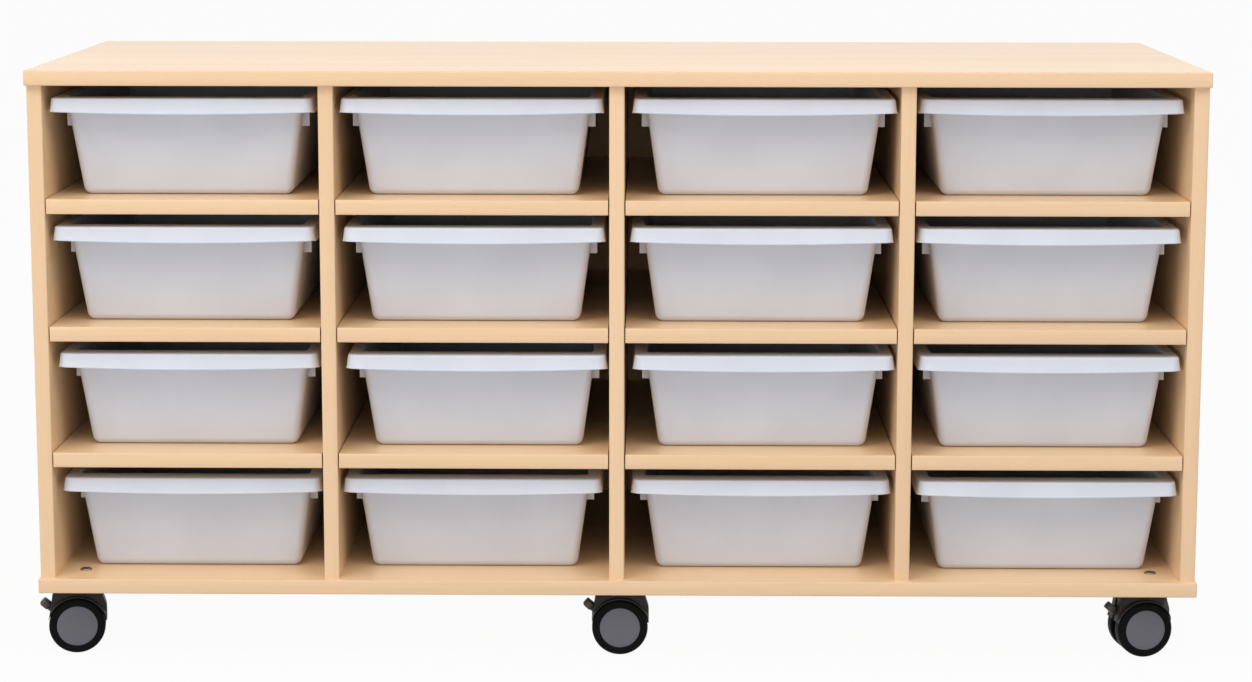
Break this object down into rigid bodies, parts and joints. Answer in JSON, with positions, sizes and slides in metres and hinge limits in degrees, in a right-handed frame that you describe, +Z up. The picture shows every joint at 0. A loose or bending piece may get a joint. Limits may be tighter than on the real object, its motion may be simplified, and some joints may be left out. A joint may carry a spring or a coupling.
{
  "type": "classroom tray storage unit",
  "caption": "Mobile classroom storage unit: an open board carcass with loose shelves, sliding plastic trays and braked twin-wheel casters.",
  "frame": {"origin": "on the floor, under the middle of the top panel", "axes": "+X to the right as seen from the open front, +Y to the back, +Z up"},
  "size_m": [1.4148, 0.5, 0.715],
  "materials": {
    "board": "pale beech-effect laminate, satin",
    "back_board": "pale beech-effect laminate, matt",
    "tray": "pale grey moulded plastic, lightly textured",
    "support_plastic": "brown moulded plastic",
    "hood_plastic": "black moulded plastic",
    "wheel_plastic": "black moulded plastic with a grey hub",
    "lever_plastic": "dark grey moulded plastic",
    "zinc_steel": "zinc plated"
  },
  "bodies": {
    "carcass": {"base_panel": "board", "top_panel": "board", "end_panel_left": "board", "end_panel_right": "board", "divider_1": "board", "divider_2": "board", "divider_3": "board", "shelves_row_1": "board", "shelves_row_2": "board", "shelves_row_3": "board", "shelf_supports": "support_plastic", "back_panel": "back_board", "caster_stems": "zinc_steel"},
    "tray_row_1_column_1": {"tray_row_1_column_1": "tray"},
    "tray_row_1_column_2": {"tray_row_1_column_2": "tray"},
    "tray_row_1_column_3": {"tray_row_1_column_3": "tray"},
    "tray_row_1_column_4": {"tray_row_1_column_4": "tray"},
    "tray_row_2_column_1": {"tray_row_2_column_1": "tray"},
    "tray_row_2_column_2": {"tray_row_2_column_2": "tray"},
    "tray_row_2_column_3": {"tray_row_2_column_3": "tray"},
    "tray_row_2_column_4": {"tray_row_2_column_4": "tray"},
    "tray_row_3_column_1": {"tray_row_3_column_1": "tray"},
    "tray_row_3_column_2": {"tray_row_3_column_2": "tray"},
    "tray_row_3_column_3": {"tray_row_3_column_3": "tray"},
    "tray_row_3_column_4": {"tray_row_3_column_4": "tray"},
    "tray_row_4_column_1": {"tray_row_4_column_1": "tray"},
    "tray_row_4_column_2": {"tray_row_4_column_2": "tray"},
    "tray_row_4_column_3": {"tray_row_4_column_3": "tray"},
    "tray_row_4_column_4": {"tray_row_4_column_4": "tray"},
    "caster_front_left": {"caster_hood_front_left": "hood_plastic", "wheel_axle_front_left": "zinc_steel"},
    "wheel_a_front_left": {"wheel_a_front_left": "wheel_plastic"},
    "wheel_b_front_left": {"wheel_b_front_left": "wheel_plastic"},
    "brake_lever_front_left": {"brake_lever_front_left": "lever_plastic"},
    "caster_front_centre": {"caster_hood_front_centre": "hood_plastic", "wheel_axle_front_centre": "zinc_steel"},
    "wheel_a_front_centre": {"wheel_a_front_centre": "wheel_plastic"},
    "wheel_b_front_centre": {"wheel_b_front_centre": "wheel_plastic"},
    "brake_lever_front_centre": {"brake_lever_front_centre": "lever_plastic"},
    "caster_front_right": {"caster_hood_front_right": "hood_plastic", "wheel_axle_front_right": "zinc_steel"},
    "wheel_a_front_right": {"wheel_a_front_right": "wheel_plastic"},
    "wheel_b_front_right": {"wheel_b_front_right": "wheel_plastic"},
    "brake_lever_front_right": {"brake_lever_front_right": "lever_plastic"},
    "caster_rear_left": {"caster_hood_rear_left": "hood_plastic", "wheel_axle_rear_left": "zinc_steel"},
    "wheel_a_rear_left": {"wheel_a_rear_left": "wheel_plastic"},
    "wheel_b_rear_left": {"wheel_b_rear_left": "wheel_plastic"},
    "brake_lever_rear_left": {"brake_lever_rear_left": "lever_plastic"},
    "caster_rear_centre": {"caster_hood_rear_centre": "hood_plastic", "wheel_axle_rear_centre": "zinc_steel"},
    "wheel_a_rear_centre": {"wheel_a_rear_centre": "wheel_plastic"},
    "wheel_b_rear_centre": {"wheel_b_rear_centre": "wheel_plastic"},
    "brake_lever_rear_centre": {"brake_lever_rear_centre": "lever_plastic"},
    "caster_rear_right": {"caster_hood_rear_right": "hood_plastic", "wheel_axle_rear_right": "zinc_steel"},
    "wheel_a_rear_right": {"wheel_a_rear_right": "wheel_plastic"},
    "wheel_b_rear_right": {"wheel_b_rear_right": "wheel_plastic"},
    "brake_lever_rear_right": {"brake_lever_rear_right": "lever_plastic"}
  },
  "joints": [
    {"name": "tray_row_1_column_1_slide", "type": "slide", "parent": "carcass", "child": "tray_row_1_column_1", "axis": [0, -1, 0], "range_m": [-0.0364, 0.38]},
    {"name": "tray_row_1_column_2_slide", "type": "slide", "parent": "carcass", "child": "tray_row_1_column_2", "axis": [0, -1, 0], "range_m": [-0.0354, 0.38]},
    {"name": "tray_row_1_column_3_slide", "type": "slide", "parent": "carcass", "child": "tray_row_1_column_3", "axis": [0, -1, 0], "range_m": [-0.0349, 0.38]},
    {"name": "tray_row_1_column_4_slide", "type": "slide", "parent": "carcass", "child": "tray_row_1_column_4", "axis": [0, -1, 0], "range_m": [-0.0314, 0.38]},
    {"name": "tray_row_2_column_1_slide", "type": "slide", "parent": "carcass", "child": "tray_row_2_column_1", "axis": [0, -1, 0], "range_m": [-0.0359, 0.38]},
    {"name": "tray_row_2_column_2_slide", "type": "slide", "parent": "carcass", "child": "tray_row_2_column_2", "axis": [0, -1, 0], "range_m": [-0.0379, 0.38]},
    {"name": "tray_row_2_column_3_slide", "type": "slide", "parent": "carcass", "child": "tray_row_2_column_3", "axis": [0, -1, 0], "range_m": [-0.0379, 0.38]},
    {"name": "tray_row_2_column_4_slide", "type": "slide", "parent": "carcass", "child": "tray_row_2_column_4", "axis": [0, -1, 0], "range_m": [-0.0374, 0.38]},
    {"name": "tray_row_3_column_1_slide", "type": "slide", "parent": "carcass", "child": "tray_row_3_column_1", "axis": [0, -1, 0], "range_m": [-0.0339, 0.38]},
    {"name": "tray_row_3_column_2_slide", "type": "slide", "parent": "carcass", "child": "tray_row_3_column_2", "axis": [0, -1, 0], "range_m": [-0.0379, 0.38]},
    {"name": "tray_row_3_column_3_slide", "type": "slide", "parent": "carcass", "child": "tray_row_3_column_3", "axis": [0, -1, 0], "range_m": [-0.0384, 0.38]},
    {"name": "tray_row_3_column_4_slide", "type": "slide", "parent": "carcass", "child": "tray_row_3_column_4", "axis": [0, -1, 0], "range_m": [-0.0394, 0.38]},
    {"name": "tray_row_4_column_1_slide", "type": "slide", "parent": "carcass", "child": "tray_row_4_column_1", "axis": [0, -1, 0], "range_m": [-0.0279, 0.38]},
    {"name": "tray_row_4_column_2_slide", "type": "slide", "parent": "carcass", "child": "tray_row_4_column_2", "axis": [0, -1, 0], "range_m": [-0.0284, 0.38]},
    {"name": "tray_row_4_column_3_slide", "type": "slide", "parent": "carcass", "child": "tray_row_4_column_3", "axis": [0, -1, 0], "range_m": [-0.0299, 0.38]},
    {"name": "tray_row_4_column_4_slide", "type": "slide", "parent": "carcass", "child": "tray_row_4_column_4", "axis": [0, -1, 0], "range_m": [-0.0344, 0.38]},
    {"name": "caster_front_left_swivel", "type": "hinge", "parent": "carcass", "child": "caster_front_left", "pos_m": [-0.651, -0.204, 0.06], "axis": [0, 0, 1], "continuous": true},
    {"name": "wheel_a_front_left_roll", "type": "hinge", "parent": "caster_front_left", "child": "wheel_a_front_left", "pos_m": [-0.65991, -0.22045, 0.034], "axis": [-0.165, 0.9863, 0], "continuous": true},
    {"name": "wheel_b_front_left_roll", "type": "hinge", "parent": "caster_front_left", "child": "wheel_b_front_left", "pos_m": [-0.66478, -0.19135, 0.034], "axis": [-0.165, 0.9863, 0], "continuous": true},
    {"name": "brake_lever_front_left_press", "type": "hinge", "parent": "caster_front_left", "child": "brake_lever_front_left", "pos_m": [-0.68404, -0.20953, 0.044], "axis": [0.165, -0.9863, 0], "range_deg": [0, 25]},
    {"name": "caster_front_centre_swivel", "type": "hinge", "parent": "carcass", "child": "caster_front_centre", "pos_m": [0.015, -0.204, 0.06], "axis": [0, 0, 1], "continuous": true},
    {"name": "wheel_a_front_centre_roll", "type": "hinge", "parent": "caster_front_centre", "child": "wheel_a_front_centre", "pos_m": [0.00376, -0.21895, 0.034], "axis": [-0.0175, 0.9998, 0], "continuous": true},
    {"name": "wheel_b_front_centre_roll", "type": "hinge", "parent": "caster_front_centre", "child": "wheel_b_front_centre", "pos_m": [0.00324, -0.18945, 0.034], "axis": [-0.0175, 0.9998, 0], "continuous": true},
    {"name": "brake_lever_front_centre_press", "type": "hinge", "parent": "caster_front_centre", "child": "brake_lever_front_centre", "pos_m": [-0.0185, -0.20458, 0.044], "axis": [0.0175, -0.9998, 0], "range_deg": [0, 25]},
    {"name": "caster_front_right_swivel", "type": "hinge", "parent": "carcass", "child": "caster_front_right", "pos_m": [0.651, -0.204, 0.06], "axis": [0, 0, 1], "continuous": true},
    {"name": "wheel_a_front_right_roll", "type": "hinge", "parent": "caster_front_right", "child": "wheel_a_front_right", "pos_m": [0.64209, -0.22045, 0.034], "axis": [-0.165, 0.9863, 0], "continuous": true},
    {"name": "wheel_b_front_right_roll", "type": "hinge", "parent": "caster_front_right", "child": "wheel_b_front_right", "pos_m": [0.63722, -0.19135, 0.034], "axis": [-0.165, 0.9863, 0], "continuous": true},
    {"name": "brake_lever_front_right_press", "type": "hinge", "parent": "caster_front_right", "child": "brake_lever_front_right", "pos_m": [0.61796, -0.20953, 0.044], "axis": [0.165, -0.9863, 0], "range_deg": [0, 25]},
    {"name": "caster_rear_left_swivel", "type": "hinge", "parent": "carcass", "child": "caster_rear_left", "pos_m": [-0.651, 0.204, 0.06], "axis": [0, 0, 1], "continuous": true},
    {"name": "wheel_a_rear_left_roll", "type": "hinge", "parent": "caster_rear_left", "child": "wheel_a_rear_left", "pos_m": [-0.65799, 0.18665, 0.034], "axis": [-0.2756, 0.9613, 0], "continuous": true},
    {"name": "wheel_b_rear_left_roll", "type": "hinge", "parent": "caster_rear_left", "child": "wheel_b_rear_left", "pos_m": [-0.66612, 0.21501, 0.034], "axis": [-0.2756, 0.9613, 0], "continuous": true},
    {"name": "brake_lever_rear_left_press", "type": "hinge", "parent": "caster_rear_left", "child": "brake_lever_rear_left", "pos_m": [-0.6832, 0.19477, 0.044], "axis": [0.2756, -0.9613, 0], "range_deg": [0, 25]},
    {"name": "caster_rear_centre_swivel", "type": "hinge", "parent": "carcass", "child": "caster_rear_centre", "pos_m": [0.015, 0.204, 0.06], "axis": [0, 0, 1], "continuous": true},
    {"name": "wheel_a_rear_centre_roll", "type": "hinge", "parent": "caster_rear_centre", "child": "wheel_a_rear_centre", "pos_m": [0.00202, 0.19053, 0.034], "axis": [0.1045, 0.9945, 0], "continuous": true},
    {"name": "wheel_b_rear_centre_roll", "type": "hinge", "parent": "caster_rear_centre", "child": "wheel_b_rear_centre", "pos_m": [0.00511, 0.21987, 0.034], "axis": [0.1045, 0.9945, 0], "continuous": true},
    {"name": "brake_lever_rear_centre_press", "type": "hinge", "parent": "caster_rear_centre", "child": "brake_lever_rear_centre", "pos_m": [-0.01832, 0.2075, 0.044], "axis": [-0.1045, -0.9945, 0], "range_deg": [0, 25]},
    {"name": "caster_rear_right_swivel", "type": "hinge", "parent": "carcass", "child": "caster_rear_right", "pos_m": [0.651, 0.204, 0.06], "axis": [0, 0, 1], "continuous": true},
    {"name": "wheel_a_rear_right_roll", "type": "hinge", "parent": "caster_rear_right", "child": "wheel_a_rear_right", "pos_m": [0.65991, 0.22045, 0.034], "axis": [0.165, -0.9863, 0], "continuous": true},
    {"name": "wheel_b_rear_right_roll", "type": "hinge", "parent": "caster_rear_right", "child": "wheel_b_rear_right", "pos_m": [0.66478, 0.19135, 0.034], "axis": [0.165, -0.9863, 0], "continuous": true},
    {"name": "brake_lever_rear_right_press", "type": "hinge", "parent": "caster_rear_right", "child": "brake_lever_rear_right", "pos_m": [0.68404, 0.20953, 0.044], "axis": [-0.165, 0.9863, 0], "range_deg": [0, 25]}
  ]
}
